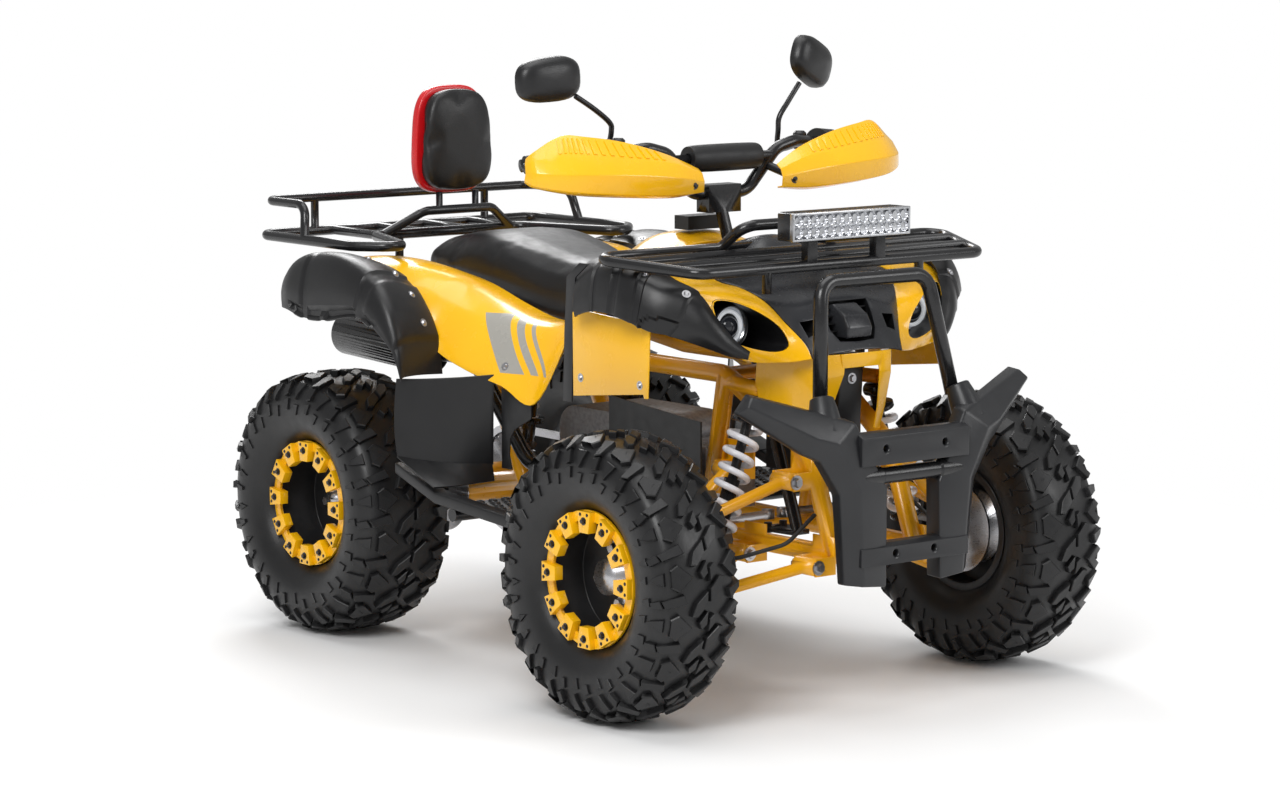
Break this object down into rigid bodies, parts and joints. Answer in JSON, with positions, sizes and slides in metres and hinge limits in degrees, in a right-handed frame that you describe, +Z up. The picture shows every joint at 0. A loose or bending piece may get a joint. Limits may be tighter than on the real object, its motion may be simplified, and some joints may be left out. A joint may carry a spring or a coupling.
{
  "type": "quad bike",
  "caption": "Utility quad bike with tube racks, moulded bumper, backrest, hand guards and knobbly tyres on steel wheels.",
  "frame": {"origin": "on the ground, under the middle of the machine's overall box", "axes": "+X forward, +Y to the rider's left, +Z up"},
  "size_m": [1.484, 0.985, 1.0878],
  "materials": {
    "tyre": "moulded rubber",
    "wheel_black": "satin black powder coat",
    "ring_yellow": "moulded plastic",
    "body_yellow": "glossy moulded plastic",
    "frame_orange": "gloss powder coat",
    "black_plastic": "grained moulded plastic",
    "grey_plastic": "grained moulded plastic",
    "black_steel": "gloss black paint",
    "bare_steel": "machined",
    "castings": "cast",
    "spring_white": "white paint",
    "rubber": "moulded rubber",
    "vinyl": "grained vinyl",
    "lamp": "clear lens over reflector",
    "foam": "vinyl sleeve over foam"
  },
  "bodies": {
    "chassis": {"frame": "frame_orange", "engine": "castings", "exhaust": "black_steel", "swingarm": "frame_orange", "chain": "bare_steel", "front_arms": "frame_orange", "shock_bodies": "black_steel", "shock_springs": "spring_white", "body_front": "body_yellow", "flares_front": "black_plastic", "body_rear": "body_yellow", "flares_rear": "black_plastic", "tank_cover": "body_yellow", "nose": "grey_plastic", "footwells": "black_plastic", "footrests": "black_steel", "seat": "vinyl", "backrest": "vinyl", "rack_rear": "black_steel", "rack_front": "black_steel", "light_bar": "lamp", "bumper": "grey_plastic", "bumper_hoop": "black_steel", "lamps": "lamp", "inner_panels": "black_plastic", "hoses": "rubber"},
    "steering": {"steering_stem": "black_steel", "handlebar": "black_steel", "bar_controls": "rubber", "bar_roll": "foam", "hand_guards": "body_yellow", "mirrors": "black_plastic"},
    "knuckle_left": {"knuckle_left": "castings"},
    "knuckle_right": {"knuckle_right": "castings"},
    "front_wheel_left": {"tyre_front_left": "tyre", "rim_front_left": "wheel_black", "ring_front_left": "ring_yellow", "brake_disc_left": "bare_steel"},
    "front_wheel_right": {"tyre_front_right": "tyre", "rim_front_right": "wheel_black", "ring_front_right": "ring_yellow", "brake_disc_right": "bare_steel"},
    "tie_rod_left": {"tie_rod_left": "bare_steel"},
    "tie_rod_right": {"tie_rod_right": "bare_steel"},
    "rear_axle": {"rear_axle": "bare_steel", "tyre_rear_left": "tyre", "tyre_rear_right": "tyre", "rims_rear": "wheel_black", "rings_rear": "ring_yellow"}
  },
  "joints": [
    {"name": "steering", "type": "hinge", "parent": "chassis", "child": "steering", "pos_m": [0.432, 0, 0.3], "axis": [-0.3589, 0, 0.9334], "range_deg": [-30, 30]},
    {"name": "rear_axle_spin", "type": "hinge", "parent": "chassis", "child": "rear_axle", "pos_m": [-0.485, 0, 0.2415], "axis": [0, 1, 0], "continuous": true},
    {"name": "kingpin_left", "type": "hinge", "parent": "chassis", "child": "knuckle_left", "pos_m": [0.467, 0.306, 0.178], "axis": [-0.0517, 0, 0.9987], "range_deg": [-30, 30]},
    {"name": "wheel_left", "type": "hinge", "parent": "knuckle_left", "child": "front_wheel_left", "pos_m": [0.465, 0.4125, 0.2415], "axis": [0, 1, 0], "continuous": true},
    {"name": "tie_rod_end_left", "type": "hinge", "parent": "knuckle_left", "child": "tie_rod_left", "pos_m": [0.40066, 0.306, 0.262], "axis": [-0.0517, 0, 0.9987], "range_deg": [-30, 30]},
    {"name": "kingpin_right", "type": "hinge", "parent": "chassis", "child": "knuckle_right", "pos_m": [0.467, -0.306, 0.178], "axis": [-0.0517, 0, 0.9987], "range_deg": [-30, 30]},
    {"name": "wheel_right", "type": "hinge", "parent": "knuckle_right", "child": "front_wheel_right", "pos_m": [0.465, -0.4125, 0.2415], "axis": [0, 1, 0], "continuous": true},
    {"name": "tie_rod_end_right", "type": "hinge", "parent": "knuckle_right", "child": "tie_rod_right", "pos_m": [0.40066, -0.306, 0.262], "axis": [-0.0517, 0, 0.9987], "range_deg": [-30, 30]}
  ],
  "couplings": [
    {"joint": "kingpin_left", "follows": "steering", "ratio": 1},
    {"joint": "tie_rod_end_left", "follows": "steering", "ratio": -1},
    {"joint": "kingpin_right", "follows": "steering", "ratio": 1},
    {"joint": "tie_rod_end_right", "follows": "steering", "ratio": -1}
  ]
}
